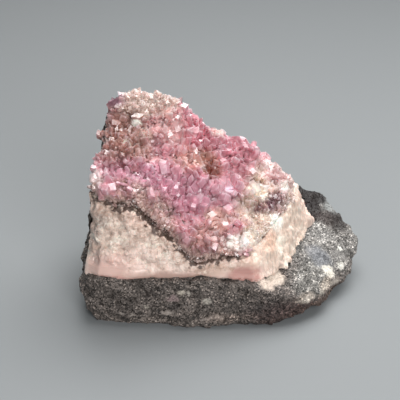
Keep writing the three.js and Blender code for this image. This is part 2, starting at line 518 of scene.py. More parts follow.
def facets(place: Vector, size: float) -> float:
    """Gives a surface of small flat breaks at different tilts.

    Args:
        place: The place, in millimetres.
        size: The width of a break in millimetres.

    Returns:
        A height from about -0.5 to 0.5.
    """
    nearest = noise.voronoi(place / size)[1][0]
    tilt = noise.cell_vector(nearest * 7.3) - Vector((0.5, 0.5, 0.5))
    return (place / size - nearest).dot(tilt) * 2


def write_values(mesh: bpy.types.Mesh, name: str, domain: str, values: Sequence[float]) -> None:
    """Stores one number for each point or face of a mesh.

    Args:
        mesh: The mesh.
        name: The attribute's name.
        domain: "POINT" or "FACE".
        values: The numbers, in the mesh's order.
    """
    attribute = mesh.attributes.get(name) or mesh.attributes.new(name, "FLOAT", domain)
    attribute.data.foreach_set("value", values)


def surface_of(mesh: bpy.types.Mesh) -> bvhtree.BVHTree:
    """Makes a search tree of a mesh's surface.

    Args:
        mesh: The mesh.

    Returns:
        The search tree.
    """
    shape = bmesh.new()
    shape.from_mesh(mesh)
    tree = bvhtree.BVHTree.FromBMesh(shape)
    shape.free()
    return tree


def solid_surface(mineral: Mineral) -> bvhtree.BVHTree:
    """Makes a search tree of the surface of a mineral's solid."""
    return surface_of(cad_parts[mineral.value].data)


def write_distance(piece: bpy.types.Object, name: str, other: bvhtree.BVHTree,
                   most_mm: float) -> None:
    """Stores how far each point of a piece is from another surface, in millimetres.

    Args:
        piece: The piece.
        name: The attribute's name.
        other: The other surface.
        most_mm: The distance stored for points further away than this.
    """
    values = []
    for vert in piece.data.vertices:
        found = other.find_nearest(vert.co, most_mm * MM)
        values.append(most_mm if found[3] is None else found[3] / MM)
    write_values(piece.data, name, "POINT", values)


def finish_piece(piece: bpy.types.Object, mineral: Mineral,
                 material: bpy.types.Material) -> None:
    """Gives a piece its material and its place in the model.

    Args:
        piece: The piece.
        mineral: The mineral that it stands for.
        material: Its material.
    """
    piece.data.materials.clear()
    piece.data.materials.append(material)
    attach(piece, "root")
    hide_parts(mineral.value)


# ---------------------------------------------------------------------------------------------
# Host rock

ROCK_ZONES = (
    # These first two zones paint the right top slope lighter grey than the front, partly as
    # painted light from above.
    Zone((0.90, 0.55, 0.24), (13.0, 17.0, 6.5), "7d7a76", 0.80, 0.30),
    Zone((0.84, 0.24, 0.17), (8.0, 8.5, 2.6), "85827d", 0.85, 0.25),
    Zone((0.86, 0.60, 0.23), (3.6, 3.2, 2.2), "aeaaa5", 0.65, 0.60),
    Zone((0.76, 0.05, 0.05), (11.0, 5.0, 4.0), "42312d", 0.85, 0.40),
    Zone((0.88, 0.20, 0.04), (9.0, 8.0, 2.2), "5c4a3f", 0.70, 0.40),
    # Painted highlight: a lighter rim along the front edge of the right lobe.
    Zone((0.80, 0.10, 0.13), (3.0, 2.5, 0.9), "a2978c", 0.80, 0.40),
    Zone((0.88, 0.26, 0.12), (3.0, 3.4, 0.9), "a79b8e", 0.75, 0.40),
    Zone((0.52, 0.02, 0.06), (6.0, 2.0, 1.2), "7b6b62", 0.50, 0.60),
    Zone((0.66, 0.04, 0.10), (6.0, 3.0, 2.4), "49403f", 0.45, 0.60),
    Zone((0.30, 0.05, 0.03), (19.0, 4.0, 1.0), "7c726b", 0.55, 0.60),
)

ROCK_PATCHES = (
    Zone((0.85, 0.41, 0.20), (3.2, 3.0, 4.0), "84868b", 0.60, 0.50),
    Zone((0.89, 0.86, 0.29), (2.4, 3.0, 1.4), "8f918f", 0.70, 0.45),
    Zone((0.91, 0.80, 0.26), (1.6, 2.0, 1.2), "9a9c9a", 0.70, 0.45),
    Zone((0.83, 0.88, 0.34), (5.6, 6.0, 4.2), "1d1716", 0.95, 0.15),
    Zone((0.84, 0.74, 0.30), (2.6, 3.6, 2.6), "1f1918", 0.92, 0.25),
    Zone((0.90, 0.72, 0.25), (4.5, 2.0, 2.0), "3c312f", 0.75, 0.50),
    Zone((0.94, 0.73, 0.23), (2.4, 4.5, 2.2), "2b2523", 0.80, 0.40),
    Zone((0.885, 0.35, 0.145), (1.9, 1.6, 2.0), "dad4c8", 0.90, 0.35),
    Zone((0.93, 0.42, 0.13), (1.0, 1.0, 1.4), "cfcbc2", 0.80, 0.50),
    # Painted highlight along the right lobe's front rim.
    Zone((0.81, 0.11, 0.12), (2.2, 2.0, 0.5), "a39b91", 0.60, 0.60),
    Zone((0.86, 0.20, 0.11), (2.4, 2.6, 0.45), "9d958a", 0.60, 0.60),
    Zone((0.91, 0.31, 0.10), (2.2, 2.8, 0.45), "9d948a", 0.60, 0.60),
    Zone((0.93, 0.49, 0.16), (2.2, 2.6, 1.4), "6f6c69", 0.60, 0.50),
    # Darker brown under the rim: partly the rock's colour, partly painted shade.
    Zone((0.86, 0.16, 0.075), (3.6, 3.4, 0.7), "3d302a", 0.75, 0.45),
    Zone((0.655, 0.10, 0.225), (2.4, 2.0, 1.6), "d3c1b3", 0.90, 0.35),
    Zone((0.69, 0.17, 0.215), (2.2, 2.4, 1.4), "cfbfb1", 0.90, 0.35),
    # Darker brown under the rim: partly the rock's colour, partly painted shade.
    Zone((0.93, 0.28, 0.065), (3.2, 3.6, 0.7), "43362f", 0.75, 0.45),
    Zone((0.93, 0.53, 0.17), (0.6, 0.7, 1.0), "e6e3da", 0.90, 0.30),
    Zone((0.36, 0.03, 0.21), (0.8, 1.6, 0.7), "bdb3a6", 0.85, 0.45),
    Zone((0.385, 0.03, 0.20), (0.5, 1.6, 0.5), "b3aaa0", 0.80, 0.45),
    Zone((0.33, 0.03, 0.17), (1.4, 1.6, 0.7), "8f7c7b", 0.75, 0.50),
    Zone((0.24, 0.03, 0.12), (0.9, 1.6, 0.5), "aca398", 0.75, 0.50),
    Zone((0.45, 0.03, 0.16), (1.1, 1.6, 0.7), "b5aea4", 0.80, 0.50),
    Zone((0.31, 0.03, 0.085), (1.1, 1.6, 0.5), "a79c94", 0.75, 0.50),
    Zone((0.44, 0.03, 0.06), (1.8, 1.6, 0.35), "b5a8a0", 0.75, 0.50),
    Zone((0.49, 0.03, 0.065), (1.3, 1.6, 0.5), "a3948a", 0.70, 0.55),
    Zone((0.15, 0.03, 0.08), (0.8, 1.6, 0.4), "9a9089", 0.65, 0.50),
    Zone((0.19, 0.03, 0.07), (1.0, 1.6, 0.4), "948a83", 0.65, 0.50),
    Zone((0.245, 0.03, 0.20), (2.2, 1.6, 0.8), "3b3431", 0.60, 0.60),
    Zone((0.33, 0.03, 0.125), (1.8, 1.6, 0.8), "35302f", 0.60, 0.60),
    Zone((0.11, 0.05, 0.21), (2.4, 2.6, 0.8), "3a3430", 0.55, 0.60),
)


@dataclass(frozen=True)
class BrokenHostRock:
    """Dark, fine-grained carbonate and quartz rock, freshly broken.

    Attributes:
        ground: The colour of its dark cement.
        grain_mm: The width of a grain.
        cluster_mm: The width of the cloudy patches of lighter and darker grains.
        tilt: How far the grains' faces tilt.
        crumb_mm, crumb_height_mm: The width and height of the crumbs on them.
        zones: The broad regions of other colours, which its grains show through. Some stand
            partly for painted light: the lighter grey top slope on the right and the lighter rim.
        patches: The smaller ones, with ragged edges, which lie over the grains. Among them are a
            painted highlight along the right lobe's rim and darker brown under it, partly painted
            shade.
    """

    ground: str = "605853"
    grain_mm: float = 0.32
    cluster_mm: float = 3.2
    tilt: float = 1.1
    crumb_mm: float = 0.35
    crumb_height_mm: float = 0.25
    zones: tuple[Zone, ...] = ROCK_ZONES
    patches: tuple[Zone, ...] = ROCK_PATCHES

    def material(self) -> bpy.types.Material:
        """Makes the material.

        Returns:
            The material.
        """
        # To the eye a fresh break is a dull, dark felt of grains, of which a few flash silver.
        # The real grains are about half as wide, too fine to show, so they are drawn coarser.
        made = Dressing("host_rock_fresh_break", Mineral.ROCK)
        bent = made.ragged(made.coords, 2.5, 0.7)
        grains = made.add("TexVoronoi", {"Scale": grain_scale(self.grain_mm)}, "Color")
        tones = made.add("SeparateColor", [grains]).node.outputs
        clusters = made.add("TexNoise", {"Scale": grain_scale(self.cluster_mm), "Detail": 4.0})
        dark_grains = made.add("MapRange", [tones[0], 0.2, 0.6, 0.3, 1.0])
        pale_grains = made.add("MapRange", [tones[1], 0.68, 0.95, 1.0, 2.7])
        cloudy = made.add("MapRange", [clusters, 0.38, 0.64, 0.72, 1.25])
        colour = made.painted(bent, linear(self.ground), self.zones)
        for shade in (dark_grains, pale_grains, cloudy):
            colour = made.shaded(colour, shade)
        chipped = made.ragged(bent, 0.8, 0.9)
        return made.done({
            "Base Color": made.painted(chipped, colour, self.patches),
            "Roughness": made.add("MapRange", [tones[2], 0.0, 1.0, 0.2, 0.75]),
            "IOR": 1.54,
            "Specular IOR Level": 0.3,
            "Normal": made.grain_faces(grains, self.tilt, self.crumb_mm, self.crumb_height_mm),
        })


@dataclass
class HostRock:
    """The chunk of host rock under and behind the vein.

    Attributes:
        voxel_mm: The size of the faces of its mesh.
        lump_mm, chip_mm, grain_mm: The widths of its lumps, chips and coarse grains.
        lump_height_mm, chip_height_mm, grain_height_mm: How far each stands out.
        thin_from_mm: The height from which it thins to a rim beside the druse.
        thin_over_mm: The height over which that rim comes to its full wear.
        thin_worn_mm: How much of that rim has crumbled away.
        finish: Its finish.
    """

    voxel_mm: float = 0.42
    lump_mm: float = 5.0
    chip_mm: float = 2.3
    grain_mm: float = 0.9
    lump_height_mm: float = 0.7
    chip_height_mm: float = 0.45
    grain_height_mm: float = 0.22
    thin_from_mm: float = 24.0
    thin_over_mm: float = 8.0
    thin_worn_mm: float = 0.7
    finish: BrokenHostRock = BrokenHostRock()

    def relief(self, place: Vector) -> float:
        """Gives the height of the broken surface.

        Args:
            place: The place, in millimetres.

        Returns:
            The height there, in millimetres.
        """
        lumps = noise.fractal(place / self.lump_mm, 0.8, 2.0, 2) * self.lump_height_mm
        chips = facets(place, self.chip_mm) * self.chip_height_mm
        grains = noise.noise(place / self.grain_mm) * self.grain_height_mm
        thinned = min(1.0, max(0.0, (place.z - self.thin_from_mm) / self.thin_over_mm))
        return lumps + chips + grains - thinned * self.thin_worn_mm

    def build(self) -> bpy.types.Object:
        """Makes the piece.

        Returns:
            The piece, dressed and riding on the root.
        """
        piece = fine_copy(Mineral.ROCK, "host_rock_broken", self.voxel_mm)

        def break_surface(shape: bmesh.types.BMesh) -> None:
            """Rounds the facets a little, but not the base's edge, and breaks the surface up."""
            soften(shape, 1, lambda vert: vert.co.z > 0.3 * MM)
            raise_relief(shape, self.relief)

        reshape(piece, break_surface)
        finish_piece(piece, Mineral.ROCK, self.finish.material())
        return piece


# ---------------------------------------------------------------------------------------------
# Massive calcite

SATIN_BULGES = (
    Zone((0.09, 0.06, 0.12), (5.0, 5.0, 4.0), "dcb8ac", 1.0, 0.35),
    Zone((0.68, 0.04, 0.10), (4.0, 3.5, 2.6), "cb9c92", 1.0, 0.30),
)

CALCITE_ZONES = (
    Zone((0.10, 0.10, 0.42), (4.5, 6.0, 7.0), "cdb8aa", 0.75, 0.40),
    Zone((0.28, 0.05, 0.36), (7.0, 5.0, 3.5), "e6d0c2", 0.70, 0.40),
    Zone((0.22, 0.03, 0.24), (3.2, 3.0, 2.6), "eed6cb", 0.80, 0.40),
    Zone((0.42, 0.03, 0.22), (6.0, 3.0, 3.0), "ead8cc", 0.70, 0.45),
    Zone((0.10, 0.03, 0.14), (6.5, 4.0, 3.2), "d8b3a8", 0.80, 0.50),
    Zone((0.34, 0.02, 0.07), (13.0, 3.0, 1.5), "c29f93", 0.85, 0.45),
    Zone((0.36, 0.00, 0.09), (6.0, 2.0, 1.0), "a98b80", 0.70, 0.60),
    Zone((0.53, 0.02, 0.13), (3.5, 2.0, 1.2), "b3958a", 0.60, 0.60),
    Zone((0.04, 0.08, 0.34), (1.8, 5.0, 6.5), "ae9b92", 0.75, 0.50),
    Zone((0.07, 0.09, 0.46), (1.8, 4.0, 1.8), "a39188", 0.70, 0.60),
    Zone((0.20, 0.04, 0.31), (2.2, 3.0, 1.6), "bda497", 0.70, 0.60),
    Zone((0.75, 0.13, 0.17), (3.0, 3.6, 2.6), "d6bfb0", 0.70, 0.50),
    # Darker pink line along the satin strip's lower edge: partly the calcite's colour, partly
    # painted shadow.
    Zone((0.36, 0.02, 0.04), (6.0, 3.0, 0.7), "bd8f86", 0.80, 0.45),
    Zone((0.12, 0.02, 0.06), (5.0, 3.0, 0.9), "cf9f96", 0.70, 0.50),
    Zone((0.56, 0.03, 0.13), (5.0, 3.0, 1.6), "cdb09f", 0.65, 0.50),
    Zone((0.71, 0.07, 0.16), (2.8, 3.4, 1.7), "c0a08f", 0.75, 0.50),
    Zone((0.68, 0.05, 0.08), (4.2, 3.5, 2.3), "b5837a", 0.90, 0.30),
    Zone((0.90, 0.35, 0.16), (9.0, 14.0, 8.0), "ccb9aa", 0.90, 0.35),
    Zone((0.86, 0.28, 0.14), (2.6, 3.4, 2.0), "e4d6c7", 0.80, 0.50),
    Zone((0.93, 0.58, 0.22), (1.6, 3.0, 2.0), "dccdc0", 0.70, 0.50),
    Zone((0.79, 0.27, 0.22), (1.8, 2.4, 1.6), "cfa994", 0.75, 0.50),
    Zone((0.80, 0.22, 0.20), (2.4, 3.0, 1.6), "dfb9a3", 0.70, 0.50),
    # Painted highlight: a near-white spot on the columns.
    Zone((0.83, 0.36, 0.28), (2.0, 2.4, 1.8), "fffdf4", 0.95, 0.30),
)


@dataclass(frozen=True)
class BrokenCalcite:
    """Massive calcite: sugary where it broke across grains, columnar on the right.

    Attributes:
        ground: The colour of most of it.
        mottle: The greyish mottles in it.
        pit: The brownish pits between its grains.
        bleached: The nearly white patches in it.
        grain_mm, mottle_mm, pit_mm: The widths of its sugary grains, mottles and pits.
        column_mm, column_long_mm: The width and length of its columns on the right.
        cleavage_mm: The lengths of the soft steps on the satin strip.
        stains: The oxides along the seam under the druse.
        bulges: Where the satin strip swells.
        zones: The regions of other colours. The near-white spot on the columns is a painted
            highlight, and the darker line along the satin strip's lower edge is partly painted
            shadow.
    """

    ground: str = "e0c6ba"
    mottle: str = "c4a897"
    pit: str = "94796b"
    bleached: str = "f0e3d4"
    grain_mm: float = 0.9
    mottle_mm: float = 3.4
    pit_mm: float = 0.8
    column_mm: float = 0.5
    column_long_mm: float = 9.0
    cleavage_mm: Triple = (7.0, 7.0, 0.8)
    stains: tuple[Stain, ...] = (IRON_OXIDE, MANGANESE_OXIDE)
    bulges: tuple[Zone, ...] = SATIN_BULGES
    zones: tuple[Zone, ...] = CALCITE_ZONES

    def material(self) -> bpy.types.Material:
        """Makes the material.

        Returns:
            The material.
        """
        # To the eye it is waxy, as light sinks a little way in: it glitters softly where it is
        # sugary, shines like satin where it cleaved, and is silky along its columns.
        # The real grains and columns are finer than the render can show, so both are drawn
        # about twice as coarse.
        made = Dressing("massive_calcite_broken", Mineral.CALCITE)
        bent = made.ragged(made.coords, 2.2, 0.8)
        colour = made.painted(bent, linear(self.ground), self.zones)
        satin = self.satin(made)
        mottles = made.add(
            "TexNoise",
            {"Scale": grain_scale(self.mottle_mm), "Detail": 6.0, "Roughness": 0.72},
        )
        mottled = made.add("MapRange", [mottles, 0.46, 0.66, 0.0, 0.6])
        mottled = made.add("Math", [mottled, satin], operation="SUBTRACT", use_clamp=True)
        colour = made.add("Mix", [mottled, colour, linear(self.mottle)])
        bleached = made.add("MapRange", [mottles, 0.5, 0.36, 0.0, 0.8])

        # The sugary left, with the satin strip below it.
        grains = made.add("TexVoronoi", {"Scale": grain_scale(self.grain_mm)}, "Color")
        grain_tone = made.add("MapRange", [made.add("SeparateColor", [grains]), 0, 1, 0.91, 1.09])
        pits = made.add("TexNoise", {"Scale": grain_scale(self.pit_mm), "Detail": 4.0})
        pitted = made.add("MapRange", [pits, 0.56, 0.7, 0.0, 0.5])
        sugary = made.add("Mix", [bleached, colour, linear(self.bleached)])
        sugary = made.add("Mix", [pitted, sugary, linear(self.pit)])
        sugary = made.add("Mix", [satin, made.shaded(sugary, grain_tone), colour])

        # The columnar right.
        columns = made.streaks((self.column_mm, self.column_mm, self.column_long_mm), 3.0)
        column_tone = made.add("MapRange", [columns, 0.35, 0.6, 0.78, 1.06])
        streaked = made.shaded(colour, column_tone)
        streaked = made.add("Mix", [bleached, streaked, linear(self.bleached)])
        right = made.side(Mineral.CALCITE, "X", 0.70, 0.80)
        colour = made.add("Mix", [right, sugary, streaked])
        for stain in self.stains:
            colour = made.stained(bent, colour, stain)

        rough = made.grain_faces(grains, 0.35, 0.5, 0.25)
        ribbed = made.add("Bump", {"Height": columns, "Distance": 0.4 * MM, "Strength": 0.7})
        steps = made.streaks(self.cleavage_mm, 2.0)
        cleaved = made.add("Bump", {"Height": steps, "Distance": 0.3 * MM, "Strength": 0.5})
        normal = made.add("Mix", [right, rough, ribbed])
        return made.done({
            "Base Color": colour,
            "Roughness": made.add("MapRange", [satin, 0.0, 1.0, 0.5, 0.33]),
            "IOR": 1.6,
            "Subsurface Weight": 0.3,
            "Subsurface Radius": (1.0, 0.6, 0.5),
            "Subsurface Scale": 0.8 * MM,
            "Normal": made.add("Mix", [satin, normal, cleaved]),
        })

    def satin(self, made: Dressing) -> Socket:
        """Marks the satin strip along the base of the vein.

        Args:
            made: The material.

        Returns:
            1 on the strip and 0 above it.
        """
        bent = made.ragged(made.coords, 5.0, 2.2)
        low = made.side(Mineral.CALCITE, "Z", 0.15, 0.08, coords=bent)
        left = made.side(Mineral.CALCITE, "X", 0.78, 0.72, coords=bent)
        strip = made.add("Math", [low, left])
        for bulge in self.bulges:
            mask = made.zone_mask(bent, bulge)
            strip = made.add("Math", [strip, mask], operation="MAXIMUM")
        return strip


@dataclass
class MassiveCalcite:
    """The wedge of massive calcite between the rock and the druse.

    Attributes:
        voxel_mm: The size of the faces of its mesh.
        lump_mm, grain_mm, column_mm: The widths of its lumps, grains and columns.
        column_long_mm: The length of its columns.
        lump_height_mm, grain_height_mm, column_height_mm: How far each stands out.
        columns_from: Where along the vein, as a share of its length, the columns begin.
        columns_over: The share of its length over which they come to their full height.
        satin_to: How high the smooth strip along the base goes, as a share of the height.
        satin_over: The share of the height over which it turns rough.
        lip_mm: How far that strip stands out.
        finish: Its finish.
    """

    voxel_mm: float = 0.34
    lump_mm: float = 3.4
    grain_mm: float = 0.9
    column_mm: float = 0.8
    column_long_mm: float = 8.0
    lump_height_mm: float = 0.9
    grain_height_mm: float = 0.23
    column_height_mm: float = 0.5
    columns_from: float = 0.74
    columns_over: float = 0.08
    satin_to: float = 0.14
    satin_over: float = 0.05
    lip_mm: float = 0.45
    finish: BrokenCalcite = BrokenCalcite()

    def relief(self, place: Vector) -> float:
        """Gives the height of the broken surface.

        Args:
            place: The place, in millimetres.

        Returns:
            The height there, in millimetres.
        """
        low, high = (corner / MM for corner in BOXES[Mineral.CALCITE])
        along = (place.x - low.x) / (high.x - low.x)
        columnar = min(1.0, max(0.0, (along - self.columns_from) / self.columns_over))
        lumps = noise.fractal(place / self.lump_mm, 0.8, 2.0, 2) * self.lump_height_mm
        grains = facets(place, self.grain_mm) * self.grain_height_mm
        widths = (self.column_mm, self.column_mm, self.column_long_mm)
        thin = Vector(part / width for part, width in zip(place, widths))
        columns = noise.noise(thin) * self.column_height_mm
        height = (place.z - low.z) / (high.z - low.z) + noise.noise(place / 5.0) * 0.04
        above = min(1.0, max(0.0, (height - self.satin_to) / self.satin_over))
        broken = max(columnar, above)
        rough = lumps + grains * (1 - columnar) + columns * columnar
        return rough * broken + self.lip_mm * (1 - broken)

    def build(self) -> bpy.types.Object:
        """Makes the piece.

        Returns:
            The piece, dressed and riding on the root.
        """
        piece = fine_copy(Mineral.CALCITE, "massive_calcite_broken", self.voxel_mm)

        def break_surface(shape: bmesh.types.BMesh) -> None:
            """Rounds the facets a little and breaks the surface up."""
            soften(shape, 1)
            raise_relief(shape, self.relief)

        reshape(piece, break_surface)
        write_distance(piece, "seam", solid_surface(Mineral.DRUSE), SEAM_MOST_MM)
        finish_piece(piece, Mineral.CALCITE, self.finish.material())
        return piece


# ---------------------------------------------------------------------------------------------
# Crystal druse


@dataclass(frozen=True)
class GlassyCalcite:
    """Cobaltoan calcite crystals: glassy, half clear, pink from cobalt.

    Attributes:
        ground: The colour of the crystals where no zone says otherwise.
        deep: The dark colour low between the crystals: partly deeper pink where light has gone
            through the most of them, partly painted shade.
        tip: The pale colour of the milky veils and of the tips, which are nearly clear; on the
            end faces high above the crust it is also painted light.
        crust: The greyish pink of the granular crust just over the seam.
        soiled: The crust where oxide has got between its grains.
        inside: The colour that white light takes on inside a crystal.
        density: How strongly the inside absorbs, for each metre.
        veil_mm: The widths of the milky veils in the crystals, which run upward.
        pocket_mm: The width of the patches where that painted shade between the crystals is
            strongest.
        blot_mm: The width of the soiled blots on the crust.
        etch_mm, etch_height_mm: The width and height of the growth marks on the faces.
        stains: The oxides along the seam under the crystals.
    """

    ground: str = "e0a1aa"
    deep: str = "71403f"
    tip: str = "fbdde2"
    crust: str = "c6aa9f"
    soiled: str = "8e756a"
    inside: str = "eeb3c0"
    density: float = 150.0
    veil_mm: Triple = (0.9, 0.9, 2.2)
    pocket_mm: float = 3.0
    blot_mm: float = 1.3
    etch_mm: float = 0.35
    etch_height_mm: float = 0.05
    stains: tuple[Stain, ...] = (MANGANESE_OXIDE,)

    def material(self, zones: Sequence[Zone]) -> bpy.types.Material:
        """Makes the material.

        Args:
            zones: The regions of other colours.

        Returns:
            The material.
        """
        # To the eye the faces sparkle and the tips let light through. The pink deepest between
        # the crystals is partly painted shade, and the tips are lightened as painted light. Pale
        # crystals are milky, and so are less clear than pink ones.
        # Real growth marks are a few hundredths of a millimetre wide, so they are drawn coarser.
        made = Dressing("cobaltoan_calcite_glassy", Mineral.DRUSE)
        bent = made.ragged(made.coords, 3.0, 1.1)
        tone, rise, cap, seam = (
            made.add("Attribute", output="Fac", attribute_name=name)
            for name in ("tone", "rise", "cap", "seam")
        )
        colour = made.painted(bent, linear(self.ground), zones)
        pinkness = made.add("SeparateColor", [colour], 1, mode="HSV")
        colour = made.shaded(colour, made.add("MapRange", [tone, -1.0, 1.0, 0.84, 1.13]))
        colour = self.veiled(made, colour)

        # Painted shade: the colour darkens towards the deep colour low between the crystals near
        # the crust, more in some patches than in others.
        shade_noise = made.add("TexNoise", {"Scale": grain_scale(self.pocket_mm)})
        patchy_shade = made.add("MapRange", [shade_noise, 0.48, 0.6, 0.25, 1.0])
        sunk = made.add("Math", [made.add("MapRange", [rise, 0.45, 0.0]), patchy_shade])
        sunk = made.add("Math", [sunk, made.add("MapRange", [pinkness, 0.3, 0.5])])
        colour = made.add("Mix", [sunk, colour, linear(self.deep)])
        # Painted light: end faces standing well above the crust are lightened towards the tip
        # colour.
        painted_tip_light = made.add("Math", [made.add("MapRange", [rise, 0.8, 2.4, 0.0, 0.15]), cap])
        colour = made.add("Mix", [painted_tip_light, colour, linear(self.tip)])
        colour = self.crusted(made, colour, seam)
        for stain in self.stains:
            colour = made.stained(bent, colour, stain)

        thick = made.add("MapRange", [rise, 0.1, 1.2, 0.0, 0.4])
        clear = made.add("Math", [thick, made.add("MapRange", [pinkness, 0.1, 0.34])])
        etched = made.add("TexNoise", {"Scale": grain_scale(self.etch_mm), "Detail": 2.0})
        marks = {"Height": etched, "Distance": self.etch_height_mm * MM, "Strength": 0.5}
        inside = {"Color": linear(self.inside), "Density": self.density}
        return made.done({
            "Base Color": colour,
            "Roughness": made.add("MapRange", [tone, -1.0, 1.0, 0.3, 0.1]),
            "IOR": 1.6,
            "Transmission Weight": clear,
            "Subsurface Weight": 0.7,
            "Subsurface Radius": (1.0, 0.8, 0.85),
            "Subsurface Scale": 3.0 * MM,
            "Normal": made.add("Bump", marks),
        }, made.add("VolumeAbsorption", inside))

    def veiled(self, made: Dressing, colour: Socket) -> Socket:
        """Draws the milky veils and the darker layers between them.

        Args:
            made: The material.
            colour: The crystals' colour.

        Returns:
            The colour with the veils in it.
        """
        veils = made.streaks(self.veil_mm, 4.0)
        colour = made.shaded(colour, made.add("MapRange", [veils, 0.3, 0.5, 0.72, 1.0]))
        milky = made.add("MapRange", [veils, 0.5, 0.68, 0.0, 0.35])
        return made.add("Mix", [milky, colour, linear(self.tip)])

    def crusted(self, made: Dressing, colour: Socket, seam: Socket) -> Socket:
        """Colours the granular crust over the seam on the front, left of the columns.

        Args:
            made: The material.
            colour: The crystals' colour.
            seam: The distance from the seam, in millimetres.

        Returns:
            The colour with the crust on it.
        """
        from_left = made.side(Mineral.CALCITE, "X", 0.72, 0.62)
        in_front = made.side(Mineral.DRUSE, "Y", 0.26, 0.18)
        crusty = made.add("Math", [made.add("MapRange", [seam, 4.6, 1.6, 0.0, 0.85]), from_left])
        crusty = made.add("Math", [crusty, in_front])
        blots = made.add("TexNoise", {"Scale": grain_scale(self.blot_mm), "Detail": 3.0})
        soiled = made.add("MapRange", [blots, 0.42, 0.6])
        crust = made.add("Mix", [soiled, linear(self.crust), linear(self.soiled)])
        return made.add("Mix", [crusty, colour, crust])


@dataclass(frozen=True)
class Crystal:
    """One crystal's place and size, in metres.

    Attributes:
        foot: The point on the bed that it grows from.
        way: The direction that it grows in.
        width: Its width.
        flat: Its thickness, against its width.
        habit: Its form.
        turn: How far it is turned about its own axis.
        stretch: Its length, against the usual length of its form.
        tone: How light it is, from -1 to 1.
    """

    foot: Vector
    way: Vector
    width: float
    flat: float
    habit: Habit
    turn: float
    stretch: float
    tone: float

    def matrix(self, sunk: float) -> Matrix:
        """Places a form that is one unit wide and stands on the origin.

        Args:
            sunk: How deep its foot is, against its width.

        Returns:
            The placing matrix.
        """
        spin = UP.rotation_difference(self.way) @ Quaternion(UP, self.turn)
        size = Vector((1, self.flat, self.stretch)) * self.width
        return Matrix.LocRotScale(self.foot - self.way * self.width * sunk, spin, size)


@dataclass(frozen=True)
class CrystalForm:
    """The shape of one habit, one unit wide, standing on the origin along +Z.

    Attributes:
        habit: The habit.
        share: How many of the crystals have it, against the other habits.
        length: Its length.
        narrowed: The radius of its upper end before its faces are cut.
        slope: How steep its three end faces are, in degrees from level.
    """

    habit: Habit
    share: int
    length: float
    narrowed: float = 0.0
    slope: float = 0.0

    def mesh(self) -> bpy.types.Mesh:
        """Makes the form's mesh, with its end faces marked in the "cap" attribute.

        Returns:
            The mesh.
        """
        shape = bmesh.new()
        if self.habit is Habit.RHOMB:
            edge = self.length / math.sqrt(3)
            bmesh.ops.create_cube(shape, size=edge)
            on_corner = Vector((1, 1, 1)).rotation_difference(UP).to_matrix().to_4x4()
            bmesh.ops.transform(shape, matrix=on_corner, verts=shape.verts)
            squeeze = 0.5 / (edge * math.sqrt(2 / 3))
            bmesh.ops.scale(shape, vec=(squeeze, squeeze, 1), verts=shape.verts)
        else:
            bmesh.ops.create_cone(
                shape, cap_ends=True, segments=6, radius1=0.5, radius2=self.narrowed,
                depth=self.length,
            )
            self.cut_end_faces(shape)
        bmesh.ops.translate(shape, vec=(0, 0, self.length / 2), verts=shape.verts)
        bmesh.ops.recalc_face_normals(shape, faces=shape.faces)
        shape.normal_update()
        cap = shape.faces.layers.float.new("cap")
        for face in shape.faces:
            face[cap] = 1.0 if face.normal.z > 0.3 else 0.0
        return mesh_of(self.habit.name, shape)

    def cut_end_faces(self, shape: bmesh.types.BMesh) -> None:
        """Cuts the three faces that close the upper end.

        Args:
            shape: The six-sided body, with its middle at the origin.
        """
        top = Vector((0, 0, self.length / 2))
        for third in range(3):
            around = math.radians(30 + 120 * third)
            tilt = math.radians(self.slope)
            outward = Vector((math.cos(around), math.sin(around), 0)) * math.sin(tilt)
            cut = bmesh.ops.bisect_plane(
                shape, geom=[*shape.verts, *shape.edges, *shape.faces], plane_co=top,
                plane_no=outward + UP * math.cos(tilt), clear_outer=True,
            )
            rim = [part for part in cut["geom_cut"] if isinstance(part, bmesh.types.BMEdge)]
            bmesh.ops.edgeloop_fill(shape, edges=rim)


FORMS = (
    CrystalForm(Habit.PRISM, 6, 1.25, 0.45, 45.0),
    CrystalForm(Habit.RHOMB, 4, 1.3),
    CrystalForm(Habit.SPIKE, 3, 1.3, 0.24, 42.0),
)

